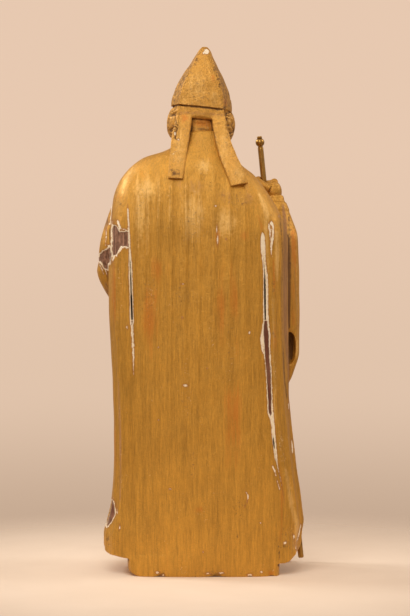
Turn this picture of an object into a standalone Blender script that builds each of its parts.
"""A carved and gilded wooden bishop saint, 62 cm tall, with a loose metal staff in its right hand.

The figure faces -Y, its own left is +X, and the table is at Z = 0. Everything is in metres.
Lofts, swept limbs and ellipsoids make the masses of the carving. One voxel remesh welds them into a single
solid, as the carver's block was, and a decimation brings it back to a faceted solid.
"""

import math

import bmesh
import bpy
import numpy as np
from mathutils import Matrix, Vector

# Driving dimensions. The figure's left is +X, and pairs named left and right follow it.
PLINTH_LEFT, PLINTH_RIGHT = 0.0905, 0.0870
PLINTH_BACK, PLINTH_FRONT = 0.0605, 0.0800
PLINTH_HEIGHT = 0.024
HEM_HEIGHT = 0.022
CLOTH_THICKNESS = 0.006
HEM_LOWEST = 0.0115
FOOT_ROUNDING = 0.045
NECK_BACK_HEIGHT, NECK_FRONT_HEIGHT = 0.520, 0.468
HEAD_CENTRE = Vector((0.0045, -0.010, 0.533))
HEAD_TILT = math.radians(-4.5)
EYE_HEIGHT = 0.539
MITRE_RIM_HEIGHT, MITRE_TIP_HEIGHT = 0.5545, 0.6200
MITRE_RISE = MITRE_TIP_HEIGHT - MITRE_RIM_HEIGHT
STAFF_FOOT = Vector((-0.1172, -0.0560, 0.0053))
STAFF_KNOP = Vector((-0.0670, -0.0520, 0.5117))
STAFF_RADIUS = 0.0034
KNOP_RADIUS = 0.0054
STUB_RADIUS, STUB_LENGTH = 0.0030, 0.0030
FIST_HEIGHT = 0.4520
CLEARANCE = 0.0003

# How finely the figure is welded and faceted
WELD_VOXEL = 0.0016
SOFTENING_STEPS = 4
FACETS = 9100
FINER_HEAD_AND_HANDS = 0.00001

# Half-widths and half-depths of the cope at heights above the table, as (height, size)
COPE_LEFT = [(0.0120, 0.0920), (0.0165, 0.0950), (0.0220, 0.1025), (0.0255, 0.1100), (0.0300, 0.1155),
             (0.0380, 0.1195), (0.048, 0.1190), (0.060, 0.1162), (0.082, 0.1118), (0.1175, 0.1084),
             (0.160, 0.1078), (0.200, 0.1086), (0.248, 0.1106), (0.284, 0.1128), (0.330, 0.1140),
             (0.400, 0.1125), (0.4383, 0.1088), (0.4597, 0.1018), (0.4739, 0.0917), (0.4811, 0.0836),
             (0.4882, 0.0722), (0.4955, 0.0490), (0.500, 0.0400), (0.506, 0.0335), (0.520, 0.0265)]
COPE_RIGHT = [(0.0115, 0.0940), (0.0145, 0.0975), (0.0215, 0.1045), (0.0280, 0.1105), (0.0360, 0.1135),
              (0.047, 0.1150), (0.060, 0.1170), (0.070, 0.1160), (0.0938, 0.1130), (0.1175, 0.1095),
              (0.153, 0.1050), (0.2125, 0.0990), (0.300, 0.0985), (0.390, 0.0985), (0.4086, 0.0940),
              (0.432, 0.0830), (0.4668, 0.0590), (0.4811, 0.0428), (0.4953, 0.0350), (0.508, 0.0300),
              (0.520, 0.0250)]
COPE_BACK = [(0.000, 0.0605), (0.250, 0.0585), (0.400, 0.0575), (0.440, 0.0545), (0.470, 0.0470),
             (0.495, 0.0375), (0.520, 0.0265)]
COPE_FRONT = [(0.020, 0.0700), (0.200, 0.0620), (0.360, 0.0640), (0.420, 0.0600), (0.450, 0.0530),
              (0.470, 0.0450), (0.490, 0.0340), (0.528, 0.0220)]
# Where the ridges between the hollow flutes of the back stand, from the right to the left
FLUTE_RIDGES = (-0.0790, -0.0620, -0.0450, -0.0270, -0.0090, 0.0080, 0.0237, 0.0400, 0.0545, 0.0672,
                0.0790, 0.0900)
# Valleys down the cope's sides and ridges down its front panels, as (degrees round the figure, width, depth)
SIDE_VALLEYS = [(132, 5, 0.0012), (142, 7, 0.0016), (152, 7, 0.0020), (164, 10, 0.0024),
                (178, 11, 0.0030), (193, 12, 0.0034), (45, 6, 0.0010), (32, 10, 0.0012), (15, 13, 0.0020),
                (-4, 14, 0.0030)]
FRONT_RIDGES = [(204, 15, 0.0036), (222, 17, 0.0048), (-18, 18, 0.0036), (-37, 18, 0.0048)]
# How far each front edge of the cope stands round from the figure's side, in degrees
COPE_OPENING = [(0.022, 50.0), (0.100, 48.0), (0.200, 42.0), (0.280, 33.0), (0.340, 27.0), (0.380, 30.0),
                (0.410, 46.0), (0.435, 63.0), (0.455, 76.0), (0.470, 82.0)]
# The robe under the cope
ROBE_SIDE = [(0.020, 0.0880), (0.100, 0.0790), (0.200, 0.0690), (0.300, 0.0640), (0.380, 0.0680),
             (0.430, 0.0640), (0.460, 0.0520), (0.490, 0.0340)]
ROBE_FRONT = [(0.020, 0.0720), (0.100, 0.0650), (0.200, 0.0570), (0.300, 0.0520), (0.360, 0.0550),
              (0.420, 0.0540), (0.450, 0.0470), (0.490, 0.0260)]


def through(points):
    """A smooth curve of size against height through a few pairs, which never overshoots them."""
    heights, sizes = np.array(points, float).T
    steps = np.diff(heights)
    slopes = np.diff(sizes) / steps
    tangents = np.zeros_like(sizes)
    both = slopes[:-1] * slopes[1:]
    level = both <= 0
    tangents[1:-1] = np.where(level, 0.0, 2 * both / np.where(level, 1.0, slopes[:-1] + slopes[1:]))
    tangents[0], tangents[-1] = slopes[0], slopes[-1]

    def at(height):
        height = np.clip(height, heights[0], heights[-1])
        i = np.clip(np.searchsorted(heights, height) - 1, 0, len(steps) - 1)
        t = (height - heights[i]) / steps[i]
        return ((1 + 2 * t) * (1 - t) ** 2 * sizes[i] + t * (1 - t) ** 2 * steps[i] * tangents[i]
                + t * t * (3 - 2 * t) * sizes[i + 1] + t * t * (t - 1) * steps[i] * tangents[i + 1])

    return at


def smoothstep(low, high, value):
    """0 below low, 1 above high, and an even S between them."""
    t = np.clip((value - low) / (high - low), 0.0, 1.0)
    return t * t * (3 - 2 * t)


def bump(distance, width):
    """A rounded ridge, 1 at its crest and 0 at half its width to each side."""
    return np.clip(1 - (2 * distance / width) ** 2, 0.0, 1.0) ** 0.75


def hill(distance, spread):
    """A soft rise, 1 at its top."""
    return np.exp(-(distance / spread) ** 2)


def section(angle, left, right, back, front, square):
    """Points x, y of a rounded section and its outward direction: angle 0 is the left, 90 degrees the back."""
    cos, sin = np.cos(angle), np.sin(angle)
    reach = (np.abs(cos) ** square + np.abs(sin) ** square) ** (-1 / square)
    wide = np.where(cos > 0, left, right)
    deep = np.where(sin > 0, back, front)
    x, y = wide * reach * cos, deep * reach * sin
    across = np.sign(cos) * np.abs(reach * cos) ** (square - 1) / wide
    along = np.sign(sin) * np.abs(reach * sin) ** (square - 1) / deep
    size = np.hypot(across, along)
    return x, y, across / size, along / size


def loft(name, rings):
    """A closed solid through rings of points, an array (ring, point, xyz), with a flat cap at each end."""
    rings = np.asarray(rings, float)
    count, around = rings.shape[:2]
    grid = np.arange(count * around).reshape(count, around)
    after = np.roll(grid, -1, axis=1)
    sides = np.stack([grid[:-1], after[:-1], after[1:], grid[1:]], axis=-1).reshape(-1, 4)
    caps = [grid[0, ::-1].tolist(), grid[-1].tolist()]
    mesh = bpy.data.meshes.new(name)
    mesh.from_pydata(rings.reshape(-1, 3).tolist(), [], sides.tolist() + caps)
    shape = bpy.data.objects.new(name, mesh)
    return outward(shape)


def outward(shape):
    """The shape with all its faces pointing out."""
    work = bmesh.new()
    work.from_mesh(shape.data)
    bmesh.ops.recalc_face_normals(work, faces=work.faces)
    work.to_mesh(shape.data)
    work.free()
    return shape


def ellipsoid(name, centre, radii, turn=(0, 0, 0)):
    """A ball stretched to three radii and turned about X, Y and Z, in degrees."""
    mesh = bpy.data.meshes.new(name)
    work = bmesh.new()
    bmesh.ops.create_uvsphere(work, u_segments=24, v_segments=14, radius=1.0)
    turned = Matrix.LocRotScale(Vector(centre), euler(turn), Vector(radii))
    bmesh.ops.transform(work, matrix=turned, verts=work.verts)
    work.to_mesh(mesh)
    work.free()
    return bpy.data.objects.new(name, mesh)


def euler(degrees):
    """A rotation from angles about X, Y and Z."""
    x, y, z = (math.radians(angle) for angle in degrees)
    return Matrix.Rotation(z, 3, "Z") @ Matrix.Rotation(y, 3, "Y") @ Matrix.Rotation(x, 3, "X")


def block(name, centre, size, turn=(0, 0, 0), bevel=0.0):
    """A box with rounded edges."""
    mesh = bpy.data.meshes.new(name)
    work = bmesh.new()
    bmesh.ops.create_cube(work, size=1.0)
    bmesh.ops.scale(work, vec=Vector(size), verts=work.verts)
    if bevel:
        bmesh.ops.bevel(work, geom=work.edges[:], offset=bevel, segments=2, affect="EDGES", profile=0.5)
    bmesh.ops.transform(work, matrix=Matrix.LocRotScale(Vector(centre), euler(turn), None), verts=work.verts)
    work.to_mesh(mesh)
    work.free()
    return bpy.data.objects.new(name, mesh)


def limb(name, points, sides=3):
    """A rounded arm, finger or fold: a curve through (x, y, z, radius) with filled caps, made a mesh."""
    curve = bpy.data.curves.new(name, "CURVE")
    curve.dimensions = "3D"
    curve.bevel_depth = 1.0
    curve.bevel_resolution = sides
    curve.resolution_u = 6
    curve.use_fill_caps = True
    spline = curve.splines.new("BEZIER")
    spline.bezier_points.add(len(points) - 1)
    for point, (x, y, z, radius) in zip(spline.bezier_points, points):
        point.co = (x, y, z)
        point.radius = radius
        point.handle_left_type = point.handle_right_type = "AUTO"
    holder = bpy.data.objects.new(name, curve)
    bpy.context.scene.collection.objects.link(holder)
    evaluated = holder.evaluated_get(bpy.context.evaluated_depsgraph_get())
    mesh = bpy.data.meshes.new_from_object(evaluated)
    work = bmesh.new()
    work.from_mesh(mesh)
    bmesh.ops.remove_doubles(work, verts=work.verts, dist=1e-6)
    bmesh.ops.recalc_face_normals(work, faces=work.faces)
    work.to_mesh(mesh)
    work.free()
    bpy.data.objects.remove(holder)
    bpy.data.curves.remove(curve)
    return bpy.data.objects.new(name, mesh)


def carved_from(shape, cutter):
    """The shape with the cutter taken away."""
    for each in (shape, cutter):
        bpy.context.scene.collection.objects.link(each)
    cut = shape.modifiers.new("cut", "BOOLEAN")
    cut.operation = "DIFFERENCE"
    cut.object = cutter
    evaluated = shape.evaluated_get(bpy.context.evaluated_depsgraph_get())
    mesh = bpy.data.meshes.new_from_object(evaluated)
    name = shape.name
    bpy.data.objects.remove(cutter)
    bpy.data.objects.remove(shape)
    return bpy.data.objects.new(name, mesh)


def turned_head(shape):
    """The shape tipped sideways with the head, about the nape."""
    pivot = Matrix.Translation(HEAD_CENTRE)
    shape.data.transform(pivot @ Matrix.Rotation(HEAD_TILT, 4, "Y") @ pivot.inverted())
    return shape


# The plinth and the robe

def plinth():
    """The low block under the figure: its back runs on from the cope's, and its left corner is worn round."""
    angle = np.linspace(0, 2 * math.pi, 160, endpoint=False)
    worn = through([(-0.006, 0.0740), (0.000, 0.0820), (0.003, 0.0872), (0.008, 0.0900),
                    (0.014, PLINTH_LEFT)])
    left, right = through(COPE_LEFT), through(COPE_RIGHT)
    rings = []
    for height in (-0.006, 0.0, 0.0015, 0.003, 0.0055, 0.008, 0.014, 0.020, 0.023, PLINTH_HEIGHT):
        inset = 0.004 * smoothstep(0.020, PLINTH_HEIGHT, height)
        x, y, _, _ = section(angle, worn(height) - inset, PLINTH_RIGHT - inset, PLINTH_BACK,
                             PLINTH_FRONT - inset, 9.0)
        reach = np.where(x > 0, left(FOOT_ROUNDING), right(FOOT_ROUNDING))
        swell = PLINTH_BACK * (1 - (np.abs(x) / reach) ** 3.5) ** (1 / 3.5)
        y = np.minimum(y, swell - 0.0003)
        rings.append(np.stack([x, y, np.full_like(x, height)], axis=-1))
    return loft("plinth", rings)


def core():
    """The body inside the cope, set back from the cope's front edges."""
    angle = np.linspace(0, 2 * math.pi, 96, endpoint=False)
    left, right, back, front = (through(p) for p in (COPE_LEFT, COPE_RIGHT, COPE_BACK, COPE_FRONT))
    inset = CLOTH_THICKNESS * 0.6
    rings = []
    for z in np.linspace(0.026, 0.500, 60):
        waist = 0.012 * hill(z - 0.33, 0.09)
        x, y, _, _ = section(angle, left(z) - inset - waist, right(z) - inset - waist, back(z) - inset,
                             front(z) - 0.013 - 0.009 * smoothstep(0.18, 0.36, z), 2.5)
        rings.append(np.stack([x, y, np.full_like(x, z)], axis=-1))
    return loft("core", rings)


def robe_folds(x, z):
    """Depth of the long robe's folds: tubes that fan out downwards, with sharp valleys between them."""
    spread = 0.45 + 0.55 * smoothstep(0.36, 0.03, z)
    depth = 0.0015 + 0.0065 * smoothstep(0.34, 0.04, z)
    folds = np.zeros_like(x)
    for centre, width, height in ((-0.074, 0.026, 0.8), (-0.050, 0.026, 1.0), (-0.027, 0.022, 0.8),
                                  (-0.005, 0.024, 1.1), (0.018, 0.022, 0.85), (0.042, 0.028, 1.05),
                                  (0.069, 0.026, 0.85)):
        sway = 0.004 * np.sin(9 * z / 0.4 + centre * 60)
        folds = np.maximum(folds, height * bump(x - centre * spread - sway, width * spread))
    return depth * folds


def robe(name, bottom, top, grow, folds_share):
    """One layer of the straight robe, from its hem at bottom up, with the shared folds."""
    angle = np.linspace(0, 2 * math.pi, 300, endpoint=False)
    side, front = through(ROBE_SIDE), through(ROBE_FRONT)
    rings = []
    for z in np.linspace(bottom, top, 110):
        x, y, across, along = section(angle, side(z) + grow, side(z) + grow, 0.030, front(z) + grow, 2.3)
        facing = smoothstep(0.1, -0.3, along)
        fold = robe_folds(x, np.full_like(x, z)) * facing * folds_share
        proud = fold + 0.0015 * smoothstep(bottom + 0.010, bottom, z)
        rings.append(np.stack([x + across * proud, y + along * proud, np.full_like(x, z)], axis=-1))
    return loft(name, rings)


def stole_ends():
    """The two flat bands that hang side by side down the front, each with a widened, fringed end."""
    front = through(ROBE_FRONT)
    bands = []
    for side in (-1, 1):
        rings = []
        for z in np.linspace(0.165, 0.440, 40):
            half = 0.0065 + 0.0025 * smoothstep(0.20, 0.165, z)
            centre = side * (0.0135 + 0.004 * smoothstep(0.36, 0.17, z)) + 0.001
            face = -(front(z) + 0.0095 + 0.0015 * math.sin(z * 55 + side))
            rings.append([(centre - half, face + 0.012, z), (centre + half, face + 0.012, z),
                          (centre + half, face, z), (centre - half, face, z)])
        bands.append(loft("stole", rings))
    return bands


def shoes():
    """The two shoe tips that show under the hem."""
    return [ellipsoid("shoe", (x, -0.0800, 0.0300), (0.0125, 0.0130, 0.0085), (0, 0, turn))
            for x, turn in ((-0.029, -12), (0.030, 12))]


# The cope

def cope_folds(angle, z, x):
    """Depth of the cope's folds: long hollow flutes behind, deeper folds at the sides and in front."""
    turn = np.degrees(angle)
    back = smoothstep(36, 46, turn) * smoothstep(139, 129, turn)
    between = np.interp(x - 0.0015 * np.sin(z * 11), FLUTE_RIDGES, range(len(FLUTE_RIDGES)))
    hollow = np.sqrt(np.abs(np.sin(math.pi * between))) * (0.55 + 0.45 * smoothstep(-0.03, 0.05, x))
    folds = -0.0013 * back * hollow * (0.30 + 0.70 * smoothstep(0.10, 0.42, z)) * smoothstep(0.478, 0.460, z)
    hang = smoothstep(0.44, 0.36, z) * (0.6 + 0.4 * smoothstep(0.30, 0.05, z))
    for centre, width, depth in SIDE_VALLEYS:
        sway = 2.0 * np.sin(z * 12 + centre)
        folds = folds - depth * hang * bump(turn - centre - sway, width)
    for centre, width, height in FRONT_RIDGES:
        sway = 3.0 * np.sin(z * 12 + centre)
        folds = folds + height * hang * bump(turn - centre - sway, width)
    return folds


def cope_surface(across, z_share, inner=False):
    """Points of the cope: across runs from the left front edge, round the back, to the right front edge."""
    left, right, back, front, opening = (through(p) for p in (COPE_LEFT, COPE_RIGHT, COPE_BACK, COPE_FRONT,
                                                             COPE_OPENING))
    side = np.abs(2 * across - 1)
    hem = HEM_LOWEST + (HEM_HEIGHT - HEM_LOWEST) * smoothstep(0.42, 0.60, side)
    top = NECK_BACK_HEIGHT + (NECK_FRONT_HEIGHT - NECK_BACK_HEIGHT) * side ** 2.2
    z = hem + z_share * (top - hem)
    start, end = -np.radians(opening(z)), np.pi + np.radians(opening(z))
    angle = start + across * (end - start)
    square = 2.2 + 1.3 * smoothstep(-0.3, 0.6, np.sin(angle)) * smoothstep(0.50, 0.40, z)
    above = np.where(np.sin(angle) > 0, np.maximum(z, FOOT_ROUNDING), z)
    x, y, out_x, out_y = section(angle, left(above), right(above), back(z), front(z), square)
    edge = np.minimum(across, 1 - across) * (end - start) * 0.085
    border = 0.0014 * smoothstep(0.0145, 0.0125, edge)
    proud = cope_folds(angle, z, x) * smoothstep(0.0, 0.03, edge) + border
    if inner:
        proud = -np.full_like(x, CLOTH_THICKNESS)
    thickness = CLOTH_THICKNESS if inner else 0.0
    x = np.clip(x + out_x * proud, thickness - right(z), left(z) - thickness)
    return np.stack([x, y + out_y * proud, z], axis=-1)


def cope():
    """The cloak: a thick C in plan, open in front, with a raised band along each front edge."""
    levels, around = np.linspace(0, 1, 170)[:, None], np.linspace(0, 1, 460)[None, :]
    shares = np.broadcast_to(around, (170, 460)), np.broadcast_to(levels, (170, 460))
    outer = cope_surface(*shares)
    inner = cope_surface(*shares, inner=True)
    rings = np.concatenate([outer, inner[:, ::-1]], axis=1)
    return loft("cope", rings)


def collar():
    """The rolled linen collar inside the neck of the cope."""
    return ellipsoid("collar", (0.0015, -0.0060, 0.4900), (0.0360, 0.0330, 0.0120), (10, 0, 0))


def morse():
    """The round clasp that closes the cope on the breast."""
    disc = ellipsoid("morse", (0.0005, -0.0545, 0.4500), (0.0145, 0.0060, 0.0145), (14, 0, 0))
    stone = ellipsoid("stone", (0.0005, -0.0590, 0.4495), (0.0070, 0.0045, 0.0070), (14, 0, 0))
    return [disc, stone]


# The arms, the hands and the book

def left_arm():
    """The arm bent across the body: its elbow stands out past the cope, and its wide cuff hangs down."""
    sleeve = limb("left_sleeve", [(0.080, 0.004, 0.452, 0.018), (0.0955, -0.002, 0.415, 0.0205),
                                  (0.1065, -0.010, 0.364, 0.0205), (0.098, -0.040, 0.350, 0.019),
                                  (0.080, -0.064, 0.354, 0.0165), (0.070, -0.075, 0.359, 0.0150)])
    elbow = limb("left_elbow", [(0.104, -0.006, 0.382, 0.013), (0.1095, -0.014, 0.356, 0.0195),
                                (0.104, -0.018, 0.337, 0.0175), (0.096, -0.024, 0.318, 0.013)])
    cuff = limb("left_cuff", [(0.092, -0.048, 0.350, 0.016), (0.086, -0.054, 0.325, 0.0165),
                              (0.081, -0.057, 0.298, 0.0145), (0.079, -0.057, 0.276, 0.0085)])
    wrist = limb("left_wrist", [(0.070, -0.074, 0.361, 0.0100), (0.058, -0.084, 0.360, 0.0092)])
    return [sleeve, elbow, cuff, wrist]


def left_hand():
    """The hand under the book: a palm, four fingers laid up its front cover and the thumb beside it."""
    shapes = [ellipsoid("left_palm", (0.052, -0.088, 0.3565), (0.0150, 0.0115, 0.0085), (8, 0, -20))]
    for i in range(4):
        x = 0.0345 + 0.0075 * i
        y = -0.1035 + 0.0024 * i
        tip = 0.3710 - 0.0012 * abs(i - 1.5)
        shapes.append(limb("left_finger", [(x + 0.003, y + 0.012, 0.3510, 0.0046),
                                           (x, y + 0.001, 0.3530, 0.0044),
                                           (x - 0.0006, y - 0.0012, 0.3620, 0.0041),
                                           (x - 0.0010, y - 0.0006, tip, 0.0036)]))
    shapes.append(limb("left_thumb", [(0.066, -0.084, 0.3590, 0.0052), (0.0712, -0.086, 0.3680, 0.0046),
                                      (0.0700, -0.088, 0.3780, 0.0040)]))
    return shapes


def book():
    """A closed book: two boards and a rounded spine round a slightly smaller block of leaves."""
    turn = (-8, 0, 17)
    centre = Vector((0.0480, -0.0925, 0.3890))
    frame = Matrix.Translation(centre) @ euler(turn).to_4x4()
    shapes = []
    for size, offset, bevel in (((0.0480, 0.0024, 0.0640), (0, -0.0068, 0), 0.0008),
                                ((0.0480, 0.0024, 0.0640), (0, 0.0068, 0), 0.0008),
                                ((0.0440, 0.0125, 0.0590), (-0.001, 0, 0), 0.0006),
                                ((0.0050, 0.0150, 0.0640), (0.0230, 0, 0), 0.0020)):
        shapes.append(block("book", frame @ Vector(offset), size, turn, bevel))
    return shapes


def right_arm():
    """The raised forearm, and the wide sleeve that hangs from it beside the cope."""
    centre_x = through([(0.2185, -0.0930), (0.250, -0.0920), (0.300, -0.0925), (0.390, -0.0900),
                        (0.420, -0.0880), (0.438, -0.0860)])
    half_x = through([(0.2185, 0.0050), (0.232, 0.0120), (0.258, 0.0195), (0.300, 0.0195), (0.395, 0.0210),
                      (0.420, 0.0165), (0.438, 0.0110)])
    centre_y = through([(0.2185, -0.0220), (0.300, -0.0230), (0.390, -0.0260), (0.420, -0.0340),
                        (0.438, -0.0380)])
    half_y = through([(0.2185, 0.0060), (0.232, 0.0120), (0.300, 0.0175), (0.390, 0.0175), (0.420, 0.0140),
                      (0.438, 0.0110)])
    angle = np.linspace(0, 2 * math.pi, 72, endpoint=False)
    rings = []
    for z in np.linspace(0.2185, 0.438, 60):
        x, y, across, along = section(angle, half_x(z), half_x(z), half_y(z), half_y(z), 2.2)
        fold = 0.0018 * np.abs(np.sin(angle * 3 + 14 * z)) * smoothstep(0.43, 0.38, z)
        cuff = 0.0012 * smoothstep(0.4275, 0.4285, z)
        x, y = x + across * (fold + cuff), y + along * (fold + cuff)
        rings.append(np.stack([x + centre_x(z), y + centre_y(z), np.full_like(x, z)], axis=-1))
    sleeve = loft("right_sleeve", rings)
    mouth = ellipsoid("sleeve_mouth", (-0.1010, -0.0060, 0.2600), (0.0080, 0.0150, 0.0230), (20, 0, 0))
    forearm = limb("right_wrist", [(-0.0875, -0.036, 0.420, 0.0125), (-0.0850, -0.043, 0.444, 0.0105)])
    return [carved_from(sleeve, mouth), forearm]


def staff_at(height):
    """The point of the staff's axis at a height."""
    share = (height - STAFF_FOOT.z) / (STAFF_KNOP.z - STAFF_FOOT.z)
    return STAFF_FOOT.lerp(STAFF_KNOP, share)


def right_hand():
    """The fist closed round the staff, with four curled fingers in front and the thumb over them."""
    middle = staff_at(FIST_HEIGHT)
    shapes = [ellipsoid("right_palm", (middle.x - 0.0105, middle.y + 0.0055, FIST_HEIGHT - 0.0010),
                        (0.0100, 0.0110, 0.0135))]
    ring = 0.0082
    for i in range(4):
        height = FIST_HEIGHT + 0.0106 - 0.0069 * i
        axis = staff_at(height)
        path = []
        for degrees, reach, radius in ((150, 1.75, 0.0046), (195, 1.45, 0.0047), (238, 1.05, 0.0043),
                                       (285, 1.0, 0.0041), (335, 1.0, 0.0039), (372, 0.95, 0.0033)):
            turn = math.radians(degrees)
            path.append((axis.x + ring * reach * math.cos(turn), axis.y + ring * reach * math.sin(turn),
                         height + 0.0008 * math.sin(turn), radius))
        shapes.append(limb("right_finger", path))
    shapes.append(limb("right_thumb", [(middle.x - 0.006, middle.y + 0.013, FIST_HEIGHT + 0.002, 0.0056),
                                       (middle.x + 0.004, middle.y + 0.0105, FIST_HEIGHT + 0.008, 0.0048),
                                       (middle.x + 0.0088, middle.y + 0.002, FIST_HEIGHT + 0.0135, 0.0042),
                                       (middle.x + 0.0070, middle.y - 0.006, FIST_HEIGHT + 0.0160, 0.0034)]))
    return shapes


# The head

HEAD_SIDE = [(0.4900, 0.0100), (0.4955, 0.0170), (0.5050, 0.0235), (0.5150, 0.0270), (0.5270, 0.0292),
             (0.5450, 0.0302), (0.5600, 0.0300), (0.5720, 0.0270)]
HEAD_FRONT = [(0.4900, 0.0200), (0.4955, 0.0300), (0.5050, 0.0335), (0.5180, 0.0340), (0.5300, 0.0345),
              (0.5450, 0.0365), (0.5600, 0.0350), (0.5720, 0.0310)]


def face_relief(x, z):
    """How far the features stand out of the egg of the head, at x from its middle and z from the eyes."""
    wide = np.abs(x)
    nose_down = smoothstep(0.010, -0.0175, z)
    nose = (0.0022 + 0.0088 * nose_down) * smoothstep(-0.0215, -0.0185, z) * smoothstep(0.014, 0.006, z)
    relief = nose * hill(x, 0.0026 + 0.0016 * nose_down)
    relief += 0.0030 * hill(wide - 0.0048, 0.0023) * hill(z + 0.0178, 0.0024)
    brow = 0.0085 + 0.0012 * np.cos(wide * 200)
    relief += 0.0022 * hill(z - brow, 0.0030) * smoothstep(0.0235, 0.012, wide)
    relief -= 0.0048 * hill(wide - 0.0102, 0.0068) * hill(z - 0.0010, 0.0058)
    relief += 0.0034 * hill(wide - 0.0112, 0.0048) * hill(z, 0.0034)
    relief += 0.0022 * hill(wide - 0.0165, 0.0080) * hill(z + 0.0125, 0.0080)
    relief += 0.0024 * hill(x, 0.0062) * hill(z + 0.0262, 0.0018)
    relief += 0.0028 * hill(x, 0.0050) * hill(z + 0.0305, 0.0019)
    relief -= 0.0014 * hill(x, 0.0075) * hill(z + 0.0283, 0.0007)
    return relief


def head():
    """The egg of the head with the face carved on its front."""
    angle = np.linspace(0, 2 * math.pi, 180, endpoint=False)
    side, front = through(HEAD_SIDE), through(HEAD_FRONT)
    rings = []
    for z in np.linspace(0.4900, 0.5720, 100):
        x, y, across, along = section(angle, side(z), side(z), 0.0330, front(z), 2.2)
        relief = face_relief(x, np.full_like(x, z - EYE_HEIGHT)) * smoothstep(-0.25, -0.75, np.sin(angle))
        rings.append(np.stack([x + HEAD_CENTRE.x, y - relief + HEAD_CENTRE.y, np.full_like(x, z)], axis=-1))
    return turned_head(loft("head", rings))


def lock(path, radius):
    """A lock of hair: thin at its root and tip."""
    shares = np.linspace(0, 1, len(path))
    return limb("lock", [(*point, radius * (0.35 + 0.65 * math.sin(math.pi * min(0.95, 0.15 + share))))
                         for point, share in zip(path, shares)], sides=2)


def hair():
    """Two full masses of waved hair over the ears, a roll of it at the nape, and the neck below."""
    x0, y0, _ = HEAD_CENTRE
    shapes = []
    for side in (-1, 1):
        shapes.append(ellipsoid("hair", (x0 + side * 0.0280, y0 + 0.006, 0.5290), (0.0120, 0.0220, 0.0205),
                                (0, 0, side * 8)))
        for i in range(6):
            back = -0.014 + 0.0074 * i
            out = 0.0368 - 0.0010 * (i - 2.5) ** 2
            path = []
            for k in range(5):
                fall = k / 4
                path.append((x0 + side * (out - 0.0055 * (2 * fall - 1.05) ** 2),
                             y0 + back + 0.0050 * math.sin(2.4 * math.pi * fall + i),
                             0.5470 - 0.0370 * fall))
            shapes.append(lock(path, 0.0043))
    shapes.append(ellipsoid("nape", (x0, y0 + 0.0150, 0.5320), (0.0255, 0.0235, 0.0095)))
    shapes.append(limb("neck", [(x0, -0.004, 0.475, 0.024), (x0, -0.005, 0.505, 0.0210),
                                (x0, -0.006, 0.535, 0.0210)]))
    return [turned_head(shape) for shape in shapes]


def beard():
    """A short full beard in waved locks, with the moustache over the mouth."""
    x0, y0, _ = HEAD_CENTRE
    shapes = [ellipsoid("beard", (x0, y0 - 0.0200, 0.4960), (0.0205, 0.0165, 0.0165), (-12, 0, 0))]
    for i in range(9):
        share = (i - 4) / 4
        middle = 1 - abs(share)
        front = y0 - 0.0155 - 0.0145 * (1 - share * share)
        top = Vector((x0 + 0.0262 * share, front, 0.5170 - 0.0110 * middle))
        tip = Vector((x0 + 0.0060 * share, y0 - 0.0330 - 0.0020 * middle, 0.4825 - 0.0080 * middle))
        path = []
        for k in range(6):
            fall = k / 5
            point = top.lerp(tip, fall)
            swell = math.sin(math.pi * min(1.0, fall * 1.1))
            wave = 0.0016 * math.sin(3.0 * math.pi * fall + i * 1.3)
            path.append((point.x + wave + 0.0035 * share * swell, point.y - 0.0050 * swell, point.z))
        shapes.append(lock(path, 0.0044))
    for side in (-1, 1):
        path = [(x0 + side * 0.0012, y0 - 0.0392, 0.5165), (x0 + side * 0.0065, y0 - 0.0385, 0.5145),
                (x0 + side * 0.0120, y0 - 0.0345, 0.5085), (x0 + side * 0.0150, y0 - 0.0310, 0.5000)]
        shapes.append(lock(path, 0.0030))
    return [turned_head(shape) for shape in shapes]


def mitre_section(half, deep):
    """A ring of the crown: a flat panel behind with a crease at each side, and a rounder front."""
    corners = np.array([(1.0, 0.0), (0.97, 0.42), (0.74, 0.95), (0.37, 1.0), (0.0, 1.01), (-0.37, 1.0),
                        (-0.74, 0.95), (-0.97, 0.42), (-1.0, 0.0)])
    share = np.linspace(0, 8, 64, endpoint=False)
    behind = np.stack([np.interp(share, range(9), corners[:, k]) for k in (0, 1)], axis=-1)
    angle = np.linspace(math.pi, 2 * math.pi, 64, endpoint=False)
    x, y, _, _ = section(angle, 1.0, 1.0, 1.0, 1.0, 2.5)
    ring = np.concatenate([behind, np.stack([x, y], axis=-1)])
    return ring[:, 0] * half, ring[:, 1] * deep


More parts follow.
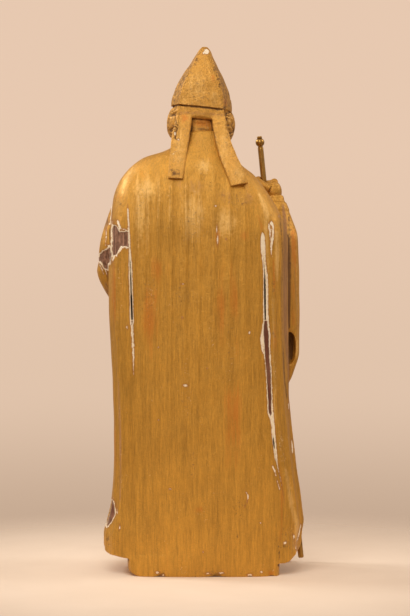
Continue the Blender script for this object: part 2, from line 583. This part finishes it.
def mitre():
    """The mitre: two horns with a cleft between them, over a plain fillet that stands a little further in."""
    x0, y0 = HEAD_CENTRE.x + 0.0020, HEAD_CENTRE.y + 0.004
    side = through([(0.000, 0.0345), (0.006, 0.0340), (0.0125, 0.0325), (0.0197, 0.0298), (0.027, 0.0262),
                    (0.034, 0.0223), (0.041, 0.0178), (0.048, 0.0139), (0.0555, 0.0104), (0.0620, 0.0080),
                    (MITRE_RISE, 0.0056)])
    deep = through([(0.000, 0.0365), (0.020, 0.0350), (0.040, 0.0295), (0.055, 0.0230), (MITRE_RISE, 0.0175)])
    rings = []
    for rise in np.linspace(0.0, MITRE_RISE, 60):
        x, y = mitre_section(side(rise), deep(rise))
        upright = smoothstep(0.0062, 0.0052, np.abs(x)) * smoothstep(0.060, 0.050, rise)
        bands = np.maximum(smoothstep(0.0135, 0.0125, rise), upright)
        proud = 1 + 0.05 * bands * smoothstep(-0.2, -0.4, y / deep(rise))
        height = MITRE_RIM_HEIGHT + rise + 0.05 * x * (1 - rise / MITRE_RISE)
        rings.append(np.stack([x * proud + x0 + 0.035 * rise, y * proud + y0, height], axis=-1))
    cleft = []
    for x in (-0.05, 0.05):
        cleft.append([(x0 + x, y0, MITRE_RIM_HEIGHT + 0.028), (x0 + x, y0 + 0.0130, MITRE_RIM_HEIGHT + 0.075),
                      (x0 + x, y0 - 0.0130, MITRE_RIM_HEIGHT + 0.075)])
    crown = carved_from(loft("mitre", rings), loft("cleft", cleft))
    angle = np.linspace(0, 2 * math.pi, 120, endpoint=False)
    fillet = []
    for z, inset in ((0.5335, 0.0010), (0.5350, 0.0), (MITRE_RIM_HEIGHT + 0.002, 0.0)):
        x, y, _, _ = section(angle, 0.0315 - inset, 0.0315 - inset, 0.0335 - inset, 0.0300, 2.7)
        fillet.append(np.stack([x + x0, y + y0, np.full_like(x, z)], axis=-1))
    tips = [ellipsoid("tip", (x0 + 0.0005, y0 + 0.0150, 0.6135), (0.0056, 0.0048, 0.0056)),
            ellipsoid("tip", (x0 + 0.0045, y0 - 0.0150, 0.6110), (0.0050, 0.0046, 0.0056))]
    return [turned_head(shape) for shape in (crown, loft("fillet", fillet), *tips)]


# The tails' section, as (share of the half-width, depth under the face)
TAIL_SECTION = [(-1, 0.020), (1, 0.020), (1, 0.0008), (0.85, 0.0), (-0.85, 0.0), (-1, 0.0008)]
# The tails of the mitre: points of each centre line with the half-width there, from the fillet down
LEFT_TAIL = [(0.0245, 0.0250, 0.5380, 0.0090), (0.0248, 0.0290, 0.5300, 0.0093),
             (0.0290, 0.0365, 0.5060, 0.0101), (0.0317, 0.0440, 0.4830, 0.0097),
             (0.0342, 0.0520, 0.4600, 0.0088)]
RIGHT_TAIL = [(-0.0150, 0.0250, 0.5380, 0.0078), (-0.0160, 0.0290, 0.5300, 0.0080),
              (-0.0207, 0.0365, 0.5060, 0.0088), (-0.0275, 0.0435, 0.4850, 0.0096),
              (-0.0345, 0.0490, 0.4680, 0.0102), (-0.0400, 0.0520, 0.4530, 0.0106)]


def tails():
    """The two flat tails of the mitre, which stand off the neck and come to rest on the shoulders."""
    shapes = []
    for line in (LEFT_TAIL, RIGHT_TAIL):
        points = np.array(line[::-1])
        at = [through(np.stack([points[:, 2], points[:, k]], axis=-1)) for k in (0, 1, 3)]
        rings = []
        for z in np.linspace(points[0, 2], points[-1, 2], 40):
            x, y, half = (curve(z) for curve in at)
            lean = (at[0](z + 0.002) - at[0](z - 0.002)) / 0.004
            wide = Vector((1.0, 0.0, -lean)).normalized()
            ring = []
            for share, inset in TAIL_SECTION:
                ring.append(Vector((x, y - inset, z)) + wide * (half * share))
            rings.append([tuple(point) for point in ring])
        shapes.append(loft("tail", rings))
    return shapes


def main():
    for old in list(bpy.data.objects):
        bpy.data.objects.remove(old)
    statue = bpy.data.collections.new("bishop_saint")
    cutters = bpy.data.collections.new("cutters")
    for group in (statue, cutters):
        bpy.context.scene.collection.children.link(group)

    masses = [plinth(), core()]
    masses += [robe("robe", 0.026, 0.48, 0.0, 1.0), robe("tunicle", 0.140, 0.47, 0.0035, 0.9)]
    masses += [*stole_ends(), *shoes(), cope(), collar(), *morse()]
    masses += [*left_arm(), *left_hand(), *book(), *right_arm(), *right_hand()]
    masses += [head(), *hair(), *beard(), *mitre(), *tails()]
    figure = one_skin("figure", masses)
    statue.objects.link(figure)
    figure.data.materials.append(finish("gilded_wood", (0.62, 0.40, 0.13), 0.42, 0.6))
    facet = figure.modifiers.new("facet", "DECIMATE")
    facet.ratio = FACETS / (2 * len(figure.data.polygons))
    facet.vertex_group = "finer"
    facet.invert_vertex_group = True
    facet.vertex_group_factor = FINER_HEAD_AND_HANDS

    for cutter in (table_cutter(), staff_cutter()):
        cutters.objects.link(cutter)
        cutter.hide_render = True
        cutter.display_type = "WIRE"
        cut = figure.modifiers.new(cutter.name, "BOOLEAN")
        cut.operation = "DIFFERENCE"
        cut.object = cutter

    rod = staff()
    statue.objects.link(rod)
    rod.data.materials.append(finish("staff_brass", (0.42, 0.29, 0.10), 0.35, 1.0))


def one_skin(name, shapes):
    """All the shapes under one voxel skin, softened, with the head and hands marked to keep finer facets."""
    work = bmesh.new()
    for shape in shapes:
        work.from_mesh(shape.data)
        bpy.data.objects.remove(shape)
    rough = bpy.data.meshes.new("rough")
    work.to_mesh(rough)
    work.free()
    holder = bpy.data.objects.new("rough", rough)
    bpy.context.scene.collection.objects.link(holder)
    remesh = holder.modifiers.new("weld", "REMESH")
    remesh.mode = "VOXEL"
    remesh.voxel_size = WELD_VOXEL
    soften = holder.modifiers.new("soften", "SMOOTH")
    soften.factor = 0.5
    soften.iterations = SOFTENING_STEPS
    mesh = bpy.data.meshes.new_from_object(holder.evaluated_get(bpy.context.evaluated_depsgraph_get()))
    bpy.data.objects.remove(holder)
    skin = bpy.data.objects.new(name, mesh)
    places = np.zeros(3 * len(mesh.vertices))
    mesh.vertices.foreach_get("co", places)
    x, y, z = places.reshape(-1, 3).T
    fist = (np.hypot(x - staff_at(FIST_HEIGHT).x, z - FIST_HEIGHT) < 0.024) & (y < -0.03)
    book_hand = (np.hypot(x - 0.052, z - 0.362) < 0.026) & (y < -0.075)
    kept = np.nonzero((z > 0.474) & (np.abs(x) < 0.05) | fist | book_hand)[0]
    skin.vertex_groups.new(name="finer").add(kept.tolist(), 0.5, "REPLACE")
    return skin


def finish(name, colour, roughness, metallic):
    """A plain material of the part's colour."""
    material = bpy.data.materials.new(name)
    material.use_nodes = True
    shader = material.node_tree.nodes["Principled BSDF"]
    shader.inputs["Base Color"].default_value = (*colour, 1.0)
    shader.inputs["Roughness"].default_value = roughness
    shader.inputs["Metallic"].default_value = metallic
    return material


def table_cutter():
    """A block whose top is the table: it leaves the plinth's underside flat at Z = 0."""
    return block("table_cutter", (0.0, 0.0, -0.02), (0.5, 0.5, 0.04))


def staff_frame():
    """The frame of the staff: its zero at the foot and its +Z up the rod."""
    lean = (STAFF_KNOP - STAFF_FOOT).to_track_quat("Z", "Y")
    return Matrix.Translation(STAFF_FOOT) @ lean.to_matrix().to_4x4()


def staff_cutter():
    """The staff's own path through the fist and past the drapery, a little wider than the staff."""
    length = (STAFF_KNOP - STAFF_FOOT).length
    mesh = bpy.data.meshes.new("staff_cutter")
    work = bmesh.new()
    bmesh.ops.create_cone(work, cap_ends=True, segments=20, radius1=STAFF_RADIUS + CLEARANCE * 1.4,
                          radius2=STAFF_RADIUS + CLEARANCE * 1.4, depth=length + 0.04)
    bmesh.ops.translate(work, vec=(0, 0, length / 2), verts=work.verts)
    work.to_mesh(mesh)
    work.free()
    mesh.transform(staff_frame())
    return bpy.data.objects.new("staff_cutter", mesh)


def staff():
    """The rod, its ball knop and the short stub above it, turned as one piece."""
    length = (STAFF_KNOP - STAFF_FOOT).length
    top = length + KNOP_RADIUS * 0.82 + STUB_LENGTH
    profile = [(0.0, top), (STUB_RADIUS, top), (STUB_RADIUS, top - STUB_LENGTH)]
    for step in range(11):
        turn = math.radians(60 - 12 * step)
        profile.append((KNOP_RADIUS * math.cos(turn), length + KNOP_RADIUS * math.sin(turn)))
    profile += [(STAFF_RADIUS, length - KNOP_RADIUS - 0.0015), (STAFF_RADIUS, 0.001),
                (STAFF_RADIUS - 0.001, 0.0), (0.0, 0.0)]
    mesh = bpy.data.meshes.new("crozier_staff")
    mesh.from_pydata([(r, 0, z) for r, z in profile], [(i, i + 1) for i in range(len(profile) - 1)], [])
    rod = bpy.data.objects.new("crozier_staff", mesh)
    screw = rod.modifiers.new("turned", "SCREW")
    screw.steps = screw.render_steps = 20
    screw.use_merge_vertices = True
    screw.merge_threshold = 0.00001
    rod.matrix_world = staff_frame()
    return rod


main()
